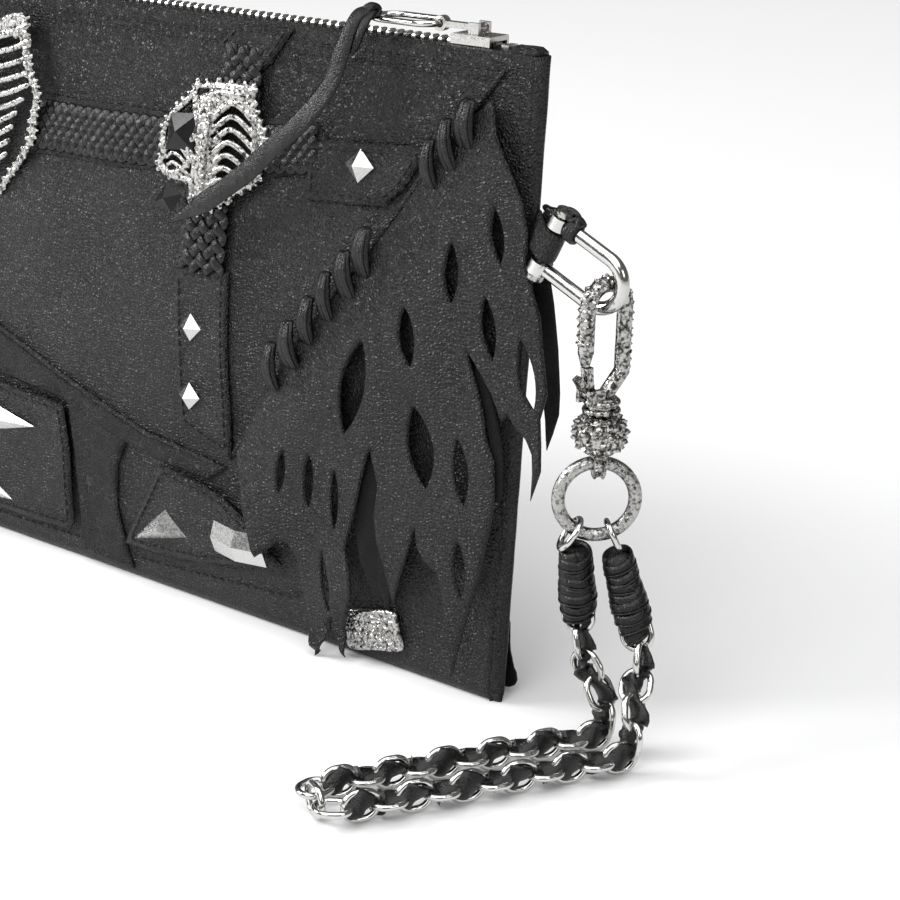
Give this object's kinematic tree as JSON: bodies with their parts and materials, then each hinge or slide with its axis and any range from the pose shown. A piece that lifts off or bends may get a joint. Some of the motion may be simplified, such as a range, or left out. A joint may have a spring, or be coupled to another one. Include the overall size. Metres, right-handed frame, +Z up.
{
  "type": "zipped pouch with chain wristlet",
  "caption": "Zipped leather pouch standing on its base, with openwork metal ornaments, studs, a slit fringe flap and a laced chain wristlet on a swivel hook.",
  "frame": {"origin": "middle of the flat base, on the surface it stands on", "axes": "+X towards the chain side, +Y to the back, +Z up"},
  "size_m": [0.3601, 0.1182, 0.1886],
  "materials": {
    "shell_leather": "soft pebbled, semi matte",
    "worn_leather": "crackled and distressed",
    "lace_leather": "smooth cut lace",
    "lining": "plain twill",
    "zip_tape": "woven tape",
    "zip_metal": "worn nickel",
    "stud_silver": "polished, lightly scratched",
    "ornament_silver": "cast, antiqued in the recesses",
    "black_stone": "facetted, glossy",
    "antique_silver": "cast, antiqued",
    "brushed_ring": "brushed, grainy",
    "chain_metal": "polished wire"
  },
  "bodies": {
    "pouch": {"front_panel": "shell_leather", "back_panel": "shell_leather", "base_strip": "shell_leather", "edge_piping": "shell_leather", "lining": "lining", "slip_pocket": "lining", "zip_tapes": "zip_tape", "zip_teeth_front": "zip_metal", "zip_teeth_back": "zip_metal", "zip_stops": "zip_metal", "zip_end_tabs": "shell_leather", "braid_band": "shell_leather", "braid_drop": "shell_leather", "top_tab": "shell_leather", "vertical_strap": "shell_leather", "right_strap": "shell_leather", "pyramid_studs": "stud_silver", "left_ornament": "ornament_silver", "middle_ornament": "ornament_silver", "black_stones": "black_stone", "distressed_band": "worn_leather", "distressed_strip": "worn_leather", "stud_patches": "shell_leather", "plate_studs": "stud_silver", "textured_plate": "ornament_silver", "fringe_flap": "shell_leather", "side_fringe": "shell_leather", "back_fringe": "shell_leather", "whip_lacing": "lace_leather"},
    "zip_slider": {"zip_slider": "zip_metal", "thong": "lace_leather"},
    "zip_puller": {"zip_puller": "zip_metal"},
    "puller_ring": {"puller_ring": "zip_metal"},
    "side_tab": {"side_tab": "shell_leather"},
    "shackle": {"shackle": "antique_silver", "shackle_pin": "antique_silver", "lace_knot": "lace_leather"},
    "hook": {"hook_body": "antique_silver", "gate_pin": "antique_silver"},
    "hook_gate": {"hook_gate": "antique_silver"},
    "swivel": {"swivel_eye": "antique_silver"},
    "ring": {"ring": "brushed_ring"},
    "binding_a": {"binding_links_a": "chain_metal", "leather_wrap_a": "lace_leather"},
    "hanging_a": {"hanging_links_a": "chain_metal", "hanging_lace_a": "lace_leather"},
    "floor_a": {"floor_links_a": "chain_metal", "floor_lace_a": "lace_leather"},
    "end_a": {"end_links_a": "chain_metal", "end_lace_a": "lace_leather", "tip_links": "chain_metal"},
    "binding_b": {"binding_links_b": "chain_metal", "leather_wrap_b": "lace_leather"},
    "hanging_b": {"hanging_links_b": "chain_metal", "hanging_lace_b": "lace_leather"},
    "floor_b": {"floor_links_b": "chain_metal", "floor_lace_b": "lace_leather"},
    "end_b": {"end_links_b": "chain_metal", "end_lace_b": "lace_leather"}
  },
  "joints": [
    {"name": "zip_slide", "type": "slide", "parent": "pouch", "child": "zip_slider", "axis": [1, 0, 0], "range_m": [-0.25, 0]},
    {"name": "puller_flip", "type": "hinge", "parent": "zip_slider", "child": "zip_puller", "pos_m": [0.128, 0.0034, 0.1849], "axis": [0, 1, 0], "range_deg": [0, 165], "deforming": ["thong"]},
    {"name": "puller_ring_lift", "type": "hinge", "parent": "zip_puller", "child": "puller_ring", "pos_m": [0.1155, 0.0034, 0.1849], "axis": [0, -1, 0], "range_deg": [-100, 0]},
    {"name": "tab_flex", "type": "hinge", "parent": "pouch", "child": "side_tab", "pos_m": [0.1528, -0.0026, 0.1376], "axis": [0, 1, 0], "range_deg": [-15, 9], "stiffness_Nm_per_rad": 0.3},
    {"name": "shackle_swing", "type": "hinge", "parent": "side_tab", "child": "shackle", "pos_m": [0.1612, -0.008, 0.1335], "axis": [0.4226, 0, 0.9063], "range_deg": [-45, 45]},
    {"name": "hook_swing", "type": "hinge", "parent": "shackle", "child": "hook", "pos_m": [0.1795, -0.008, 0.1196], "axis": [0.9292, 0, 0.3696], "range_deg": [-35, 8]},
    {"name": "gate_open", "type": "hinge", "parent": "hook", "child": "hook_gate", "pos_m": [0.17812, -0.01239, 0.0976], "axis": [0.9537, -0.3007, 0], "range_deg": [-25, 0], "stiffness_Nm_per_rad": 0.02},
    {"name": "swivel_turn", "type": "hinge", "parent": "hook", "child": "swivel", "pos_m": [0.1795, -0.008, 0.093], "axis": [0, 0, 1], "range_deg": [-40, 180]},
    {"name": "ring_swing", "type": "hinge", "parent": "swivel", "child": "ring", "pos_m": [0.1795, -0.008, 0.0777], "axis": [0.7431, 0.6691, 0], "range_deg": [-40, 20]},
    {"name": "binding_swing_a", "type": "hinge", "parent": "ring", "child": "binding_a", "pos_m": [0.17534, -0.01175, 0.05897], "axis": [0.7412, 0.6673, -0.0729], "range_deg": [-20, 20]},
    {"name": "binding_swing_b", "type": "hinge", "parent": "ring", "child": "binding_b", "pos_m": [0.1827, -0.00512, 0.05825], "axis": [0.7412, 0.6673, -0.0729], "range_deg": [-20, 20]},
    {"name": "hanging_bend_a", "type": "hinge", "parent": "binding_a", "child": "hanging_a", "pos_m": [0.1803, -0.01415, 0.03163], "axis": [0.9577, 0.2662, -0.1093], "range_deg": [-20, 20]},
    {"name": "hanging_bend_b", "type": "hinge", "parent": "binding_b", "child": "hanging_b", "pos_m": [0.19667, -0.0096, 0.02976], "axis": [0.9577, 0.2662, -0.1093], "range_deg": [-20, 20]},
    {"name": "floor_bend_a", "type": "hinge", "parent": "hanging_a", "child": "floor_a", "pos_m": [0.19018, -0.01568, 0.00505], "axis": [0.891, -0.454, 0], "range_deg": [-35, 20]},
    {"name": "floor_bend_b", "type": "hinge", "parent": "hanging_b", "child": "floor_b", "pos_m": [0.20265, -0.02204, 0.00505], "axis": [0.891, -0.454, 0], "range_deg": [-35, 20]},
    {"name": "end_bend_a", "type": "hinge", "parent": "floor_a", "child": "end_a", "pos_m": [0.17002, -0.05525, 0.00505], "axis": [0.891, -0.454, 0], "range_deg": [-50, 50]},
    {"name": "end_bend_b", "type": "hinge", "parent": "floor_b", "child": "end_b", "pos_m": [0.18249, -0.0616, 0.00505], "axis": [0.891, -0.454, 0], "range_deg": [-50, 50]}
  ],
  "couplings": [
    {"joint": "binding_swing_b", "follows": "binding_swing_a", "ratio": 1},
    {"joint": "hanging_bend_b", "follows": "hanging_bend_a", "ratio": 1},
    {"joint": "floor_bend_b", "follows": "floor_bend_a", "ratio": 1},
    {"joint": "end_bend_b", "follows": "end_bend_a", "ratio": 1}
  ]
}
